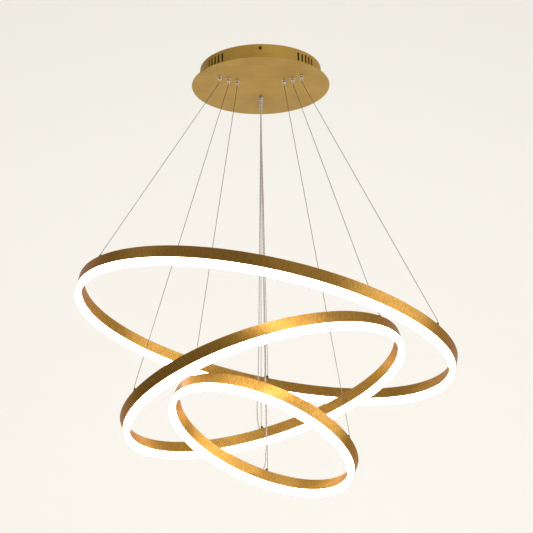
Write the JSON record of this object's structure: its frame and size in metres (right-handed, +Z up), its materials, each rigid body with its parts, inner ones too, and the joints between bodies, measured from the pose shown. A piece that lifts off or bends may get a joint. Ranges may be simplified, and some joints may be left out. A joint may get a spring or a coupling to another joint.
{
  "type": "led ring chandelier",
  "caption": "Tilted glowing rings, gold channel over white diffuser, hung on thin wires from a round gold ceiling canopy.",
  "frame": {"origin": "centre of the canopy's ceiling face", "axes": "+Z up into the ceiling, -Y towards the front of the picture, +X to its right"},
  "size_m": [0.7875, 0.8001, 0.9224],
  "materials": {
    "canopy_gold": "brushed gold lacquer, satin",
    "ring_gold": "brushed, gold anodised",
    "opal_acrylic": "opal, lit from inside",
    "led_strip": "white solder mask",
    "chrome": "polished",
    "steel_wire": "stranded steel",
    "clear_cord": "clear sheath over tinned cores",
    "gland_plastic": "moulded, clear grey",
    "zinc_steel": "zinc plated",
    "dark_screw": "bronze lacquer",
    "driver_white": "moulded case",
    "terminal_white": "moulded",
    "lead_white": "PVC sheath"
  },
  "bodies": {
    "canopy": {"ceiling_bracket": "zinc_steel", "canopy_drum": "canopy_gold", "canopy_plate": "canopy_gold", "canopy_side_screws": "dark_screw", "plate_nuts": "zinc_steel", "led_driver": "driver_white", "driver_screws": "zinc_steel", "earth_screw": "zinc_steel", "terminal_block": "terminal_white", "terminal_screw": "zinc_steel", "supply_lead": "lead_white", "gripper_bodies": "chrome", "gripper_nuts": "zinc_steel", "cord_glands": "gland_plastic", "wire_1_left": "steel_wire", "wire_1_right": "steel_wire", "wire_1_rear": "steel_wire", "wire_2_left": "steel_wire", "wire_2_right": "steel_wire", "wire_2_rear": "steel_wire", "wire_3_left": "steel_wire", "wire_3_right": "steel_wire", "wire_3_rear": "steel_wire", "cord_1": "clear_cord", "cord_2": "clear_cord", "cord_3": "clear_cord"},
    "ring_1": {"ring_1_channel": "ring_gold", "ring_1_diffuser": "opal_acrylic", "ring_1_led_strip": "led_strip", "ring_1_wire_ends": "chrome", "ring_1_cord_inlet": "gland_plastic"},
    "ring_2": {"ring_2_channel": "ring_gold", "ring_2_diffuser": "opal_acrylic", "ring_2_led_strip": "led_strip", "ring_2_wire_ends": "chrome", "ring_2_cord_inlet": "gland_plastic"},
    "ring_3": {"ring_3_channel": "ring_gold", "ring_3_diffuser": "opal_acrylic", "ring_3_led_strip": "led_strip", "ring_3_wire_ends": "chrome", "ring_3_cord_inlet": "gland_plastic"},
    "nose_1_left": {"gripper_nose_1_left": "chrome"},
    "nose_1_right": {"gripper_nose_1_right": "chrome"},
    "nose_1_rear": {"gripper_nose_1_rear": "chrome"},
    "nose_2_left": {"gripper_nose_2_left": "chrome"},
    "nose_2_right": {"gripper_nose_2_right": "chrome"},
    "nose_2_rear": {"gripper_nose_2_rear": "chrome"},
    "nose_3_left": {"gripper_nose_3_left": "chrome"},
    "nose_3_right": {"gripper_nose_3_right": "chrome"},
    "nose_3_rear": {"gripper_nose_3_rear": "chrome"}
  },
  "joints": [
    {"name": "ring_1_height", "type": "slide", "parent": "canopy", "child": "ring_1", "axis": [0, 0, 1], "range_m": [0, 0.25], "deforming": ["wire_1_left", "wire_1_right", "wire_1_rear", "cord_1"]},
    {"name": "ring_2_height", "type": "slide", "parent": "canopy", "child": "ring_2", "axis": [0, 0, 1], "range_m": [0, 0.12], "deforming": ["wire_2_left", "wire_2_right", "wire_2_rear", "cord_2"]},
    {"name": "ring_3_height", "type": "slide", "parent": "canopy", "child": "ring_3", "axis": [0, 0, 1], "range_m": [0, 0.2], "deforming": ["wire_3_left", "wire_3_right", "wire_3_rear", "cord_3"]},
    {"name": "nose_1_left_press", "type": "slide", "parent": "canopy", "child": "nose_1_left", "axis": [0, 0, 1], "range_m": [0, 0.0025], "stiffness_N_per_m": 200, "springref_m": -0.003},
    {"name": "nose_1_right_press", "type": "slide", "parent": "canopy", "child": "nose_1_right", "axis": [0, 0, 1], "range_m": [0, 0.0025], "stiffness_N_per_m": 200, "springref_m": -0.003},
    {"name": "nose_1_rear_press", "type": "slide", "parent": "canopy", "child": "nose_1_rear", "axis": [0, 0, 1], "range_m": [0, 0.0025], "stiffness_N_per_m": 200, "springref_m": -0.003},
    {"name": "nose_2_left_press", "type": "slide", "parent": "canopy", "child": "nose_2_left", "axis": [0, 0, 1], "range_m": [0, 0.0025], "stiffness_N_per_m": 200, "springref_m": -0.003},
    {"name": "nose_2_right_press", "type": "slide", "parent": "canopy", "child": "nose_2_right", "axis": [0, 0, 1], "range_m": [0, 0.0025], "stiffness_N_per_m": 200, "springref_m": -0.003},
    {"name": "nose_2_rear_press", "type": "slide", "parent": "canopy", "child": "nose_2_rear", "axis": [0, 0, 1], "range_m": [0, 0.0025], "stiffness_N_per_m": 200, "springref_m": -0.003},
    {"name": "nose_3_left_press", "type": "slide", "parent": "canopy", "child": "nose_3_left", "axis": [0, 0, 1], "range_m": [0, 0.0025], "stiffness_N_per_m": 200, "springref_m": -0.003},
    {"name": "nose_3_right_press", "type": "slide", "parent": "canopy", "child": "nose_3_right", "axis": [0, 0, 1], "range_m": [0, 0.0025], "stiffness_N_per_m": 200, "springref_m": -0.003},
    {"name": "nose_3_rear_press", "type": "slide", "parent": "canopy", "child": "nose_3_rear", "axis": [0, 0, 1], "range_m": [0, 0.0025], "stiffness_N_per_m": 200, "springref_m": -0.003}
  ]
}
